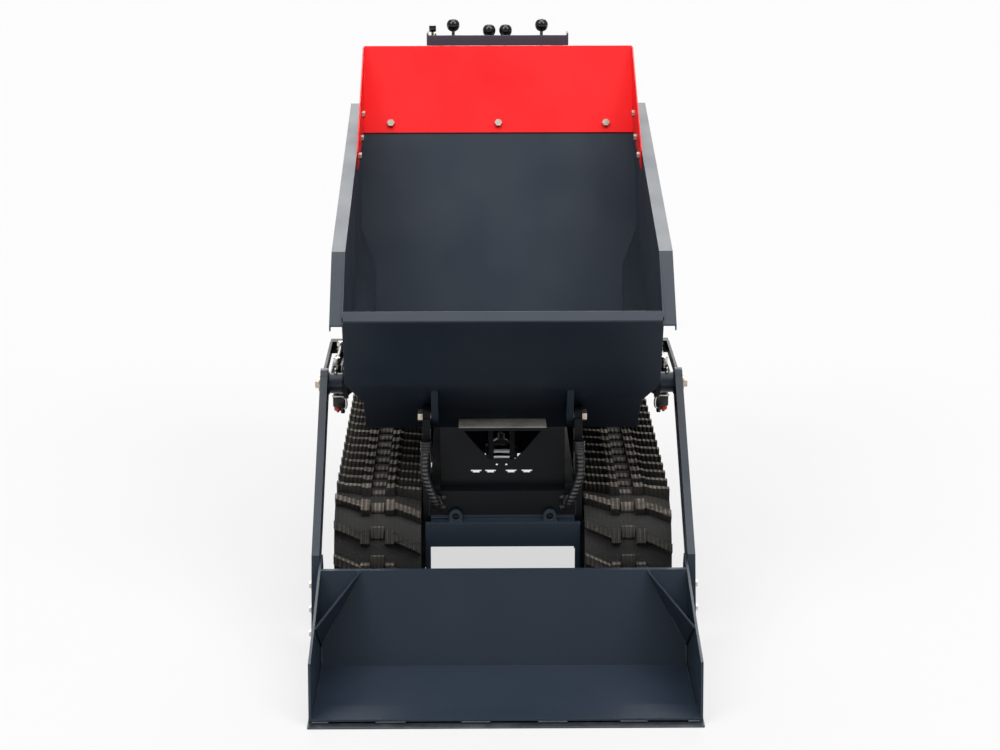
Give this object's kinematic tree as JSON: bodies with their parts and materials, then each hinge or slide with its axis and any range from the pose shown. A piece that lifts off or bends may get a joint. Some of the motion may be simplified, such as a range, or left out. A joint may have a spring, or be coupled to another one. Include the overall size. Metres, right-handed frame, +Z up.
{
  "type": "tracked power carrier",
  "caption": "Self-loading tracked carrier with rubber tracks, a tipping skip with spill guard, a front shovel on lift arms, engine and lever console.",
  "frame": {"origin": "on the ground under the middle of the machine, halfway along its length with the shovel lowered", "axes": "+Z up; -Y forward, the way the shovel points; +X to the right as seen from the front. Left and right in names are as seen from the front."},
  "size_m": [0.804, 1.84, 1.152],
  "materials": {
    "grey_paint": "satin",
    "red_paint": "gloss",
    "black_paint": "satin",
    "track_rubber": "matte",
    "pad_rubber": "matte",
    "worn_steel": "worn",
    "zinc": "satin",
    "chrome_rod": "polished",
    "cast_iron": "matte",
    "engine_alloy": "cast",
    "black_plastic": "matte",
    "knob_plastic": "gloss",
    "heat_steel": "matte",
    "yellow_zinc": "satin"
  },
  "bodies": {
    "chassis": {"chassis_rails": "grey_paint", "cross_members": "grey_paint", "rest_pads": "pad_rubber", "front_plate": "grey_paint", "front_beam": "grey_paint", "lift_frame_left": "grey_paint", "lift_frame_right": "grey_paint", "pivot_pins": "zinc", "track_beam_left": "grey_paint", "track_beam_right": "grey_paint", "final_drives": "cast_iron", "track_left": "track_rubber", "track_right": "track_rubber", "engine_deck": "grey_paint", "engine_block": "engine_alloy", "fan_cover": "black_paint", "fuel_tank": "black_paint", "muffler": "heat_steel", "air_filter": "black_plastic", "hydraulic_pump": "engine_alloy", "hydraulic_tank": "grey_paint", "console_frame": "grey_paint", "console_panel": "grey_paint", "control_valve": "cast_iron", "hydraulic_hoses": "pad_rubber"},
    "skip": {"skip_tub": "grey_paint", "skip_subframe": "grey_paint", "spill_guard": "red_paint", "guard_bolts": "zinc"},
    "loader": {"lift_arm_left": "grey_paint", "lift_arm_right": "grey_paint", "shovel": "grey_paint", "cutting_edge": "worn_steel", "shovel_bolts": "zinc"},
    "lift_barrels": {"lift_barrels": "black_paint"},
    "lift_rods": {"lift_rods": "chrome_rod"},
    "tip_barrel": {"tip_barrel": "black_paint"},
    "tip_rod": {"tip_rod": "chrome_rod"},
    "sprocket_left": {"sprocket_left": "cast_iron"},
    "idler_left": {"idler_left": "cast_iron"},
    "roller_left_1": {"roller_left_1": "cast_iron"},
    "roller_left_2": {"roller_left_2": "cast_iron"},
    "roller_left_3": {"roller_left_3": "cast_iron"},
    "sprocket_right": {"sprocket_right": "cast_iron"},
    "idler_right": {"idler_right": "cast_iron"},
    "roller_right_1": {"roller_right_1": "cast_iron"},
    "roller_right_2": {"roller_right_2": "cast_iron"},
    "roller_right_3": {"roller_right_3": "cast_iron"},
    "control_left_drive": {"lever_left_drive": "chrome_rod", "knob_left_drive": "knob_plastic"},
    "control_skip": {"lever_skip": "chrome_rod", "knob_skip": "knob_plastic"},
    "control_shovel": {"lever_shovel": "chrome_rod", "knob_shovel": "knob_plastic"},
    "control_right_drive": {"lever_right_drive": "chrome_rod", "knob_right_drive": "knob_plastic"},
    "throttle": {"throttle_lever": "yellow_zinc"},
    "fuel_filler_cap": {"fuel_cap": "black_plastic"},
    "oil_filler_cap": {"tank_cap": "black_plastic"},
    "starter_handle": {"starter_grip": "black_plastic"}
  },
  "joints": [
    {"name": "arm_lift", "type": "hinge", "parent": "chassis", "child": "loader", "pos_m": [0, -0.1, 0.464], "axis": [-1, 0, 0], "range_deg": [0, 120]},
    {"name": "lift_swing", "type": "hinge", "parent": "chassis", "child": "lift_barrels", "pos_m": [0, 0.235, 0.432], "axis": [1, 0, 0], "range_deg": [0, 3.84]},
    {"name": "lift_stroke", "type": "slide", "parent": "lift_barrels", "child": "lift_rods", "axis": [0, -0.9998, 0.0178], "range_m": [0, 0.13699]},
    {"name": "skip_tip", "type": "hinge", "parent": "chassis", "child": "skip", "pos_m": [0, -0.3, 0.445], "axis": [1, 0, 0], "range_deg": [0, 76]},
    {"name": "tip_swing", "type": "hinge", "parent": "chassis", "child": "tip_barrel", "pos_m": [0, 0.25, 0.214], "axis": [-1, 0, 0], "range_deg": [0, 28.53]},
    {"name": "tip_stroke", "type": "slide", "parent": "tip_barrel", "child": "tip_rod", "axis": [0, -0.9658, 0.2592], "range_m": [0, 0.13605]},
    {"name": "drive_left", "type": "hinge", "parent": "chassis", "child": "sprocket_left", "pos_m": [-0.26, 0.553, 0.145], "axis": [1, 0, 0], "continuous": true},
    {"name": "idler_turn_left", "type": "hinge", "parent": "chassis", "child": "idler_left", "pos_m": [-0.26, -0.287, 0.145], "axis": [1, 0, 0], "continuous": true},
    {"name": "roller_turn_left_1", "type": "hinge", "parent": "chassis", "child": "roller_left_1", "pos_m": [-0.26, -0.085, 0.0873], "axis": [1, 0, 0], "continuous": true},
    {"name": "roller_turn_left_2", "type": "hinge", "parent": "chassis", "child": "roller_left_2", "pos_m": [-0.26, 0.13, 0.0873], "axis": [1, 0, 0], "continuous": true},
    {"name": "roller_turn_left_3", "type": "hinge", "parent": "chassis", "child": "roller_left_3", "pos_m": [-0.26, 0.345, 0.0873], "axis": [1, 0, 0], "continuous": true},
    {"name": "drive_right", "type": "hinge", "parent": "chassis", "child": "sprocket_right", "pos_m": [0.26, 0.553, 0.145], "axis": [1, 0, 0], "continuous": true},
    {"name": "idler_turn_right", "type": "hinge", "parent": "chassis", "child": "idler_right", "pos_m": [0.26, -0.287, 0.145], "axis": [1, 0, 0], "continuous": true},
    {"name": "roller_turn_right_1", "type": "hinge", "parent": "chassis", "child": "roller_right_1", "pos_m": [0.26, -0.085, 0.0873], "axis": [1, 0, 0], "continuous": true},
    {"name": "roller_turn_right_2", "type": "hinge", "parent": "chassis", "child": "roller_right_2", "pos_m": [0.26, 0.13, 0.0873], "axis": [1, 0, 0], "continuous": true},
    {"name": "roller_turn_right_3", "type": "hinge", "parent": "chassis", "child": "roller_right_3", "pos_m": [0.26, 0.345, 0.0873], "axis": [1, 0, 0], "continuous": true},
    {"name": "push_left_drive", "type": "hinge", "parent": "chassis", "child": "control_left_drive", "pos_m": [-0.108, 0.792, 1], "axis": [1, 0, 0], "range_deg": [-12, 12], "stiffness_Nm_per_rad": 4},
    {"name": "push_skip", "type": "hinge", "parent": "chassis", "child": "control_skip", "pos_m": [-0.02, 0.792, 1], "axis": [1, 0, 0], "range_deg": [-12, 12], "stiffness_Nm_per_rad": 4},
    {"name": "push_shovel", "type": "hinge", "parent": "chassis", "child": "control_shovel", "pos_m": [0.02, 0.792, 1], "axis": [1, 0, 0], "range_deg": [-12, 12], "stiffness_Nm_per_rad": 4},
    {"name": "push_right_drive", "type": "hinge", "parent": "chassis", "child": "control_right_drive", "pos_m": [0.108, 0.792, 1], "axis": [1, 0, 0], "range_deg": [-12, 12], "stiffness_Nm_per_rad": 4},
    {"name": "throttle_turn", "type": "hinge", "parent": "chassis", "child": "throttle", "pos_m": [-0.158, 0.772, 1.108], "axis": [-1, 0, 0], "range_deg": [0, 50]},
    {"name": "fuel_cap_turn", "type": "hinge", "parent": "chassis", "child": "fuel_filler_cap", "pos_m": [-0.055, 0.6, 0.68], "axis": [0, 0, 1], "range_deg": [0, 90]},
    {"name": "oil_cap_turn", "type": "hinge", "parent": "chassis", "child": "oil_filler_cap", "pos_m": [0.24, 0.64, 0.56], "axis": [0, 0, 1], "range_deg": [0, 90]},
    {"name": "starter_pull", "type": "slide", "parent": "chassis", "child": "starter_handle", "axis": [0, 1, 0], "range_m": [0, 0.1], "stiffness_N_per_m": 40}
  ],
  "couplings": [
    {"joint": "lift_swing", "follows": "arm_lift", "ratio": 0.031906},
    {"joint": "lift_stroke", "follows": "arm_lift", "m_per_rad": 0.065362},
    {"joint": "tip_swing", "follows": "skip_tip", "ratio": 0.37531},
    {"joint": "tip_stroke", "follows": "skip_tip", "m_per_rad": 0.10249},
    {"joint": "idler_turn_left", "follows": "drive_left", "ratio": 1},
    {"joint": "roller_turn_left_1", "follows": "drive_left", "ratio": 2.5465},
    {"joint": "roller_turn_left_2", "follows": "drive_left", "ratio": 2.5465},
    {"joint": "roller_turn_left_3", "follows": "drive_left", "ratio": 2.5465},
    {"joint": "idler_turn_right", "follows": "drive_right", "ratio": 1},
    {"joint": "roller_turn_right_1", "follows": "drive_right", "ratio": 2.5465},
    {"joint": "roller_turn_right_2", "follows": "drive_right", "ratio": 2.5465},
    {"joint": "roller_turn_right_3", "follows": "drive_right", "ratio": 2.5465}
  ]
}
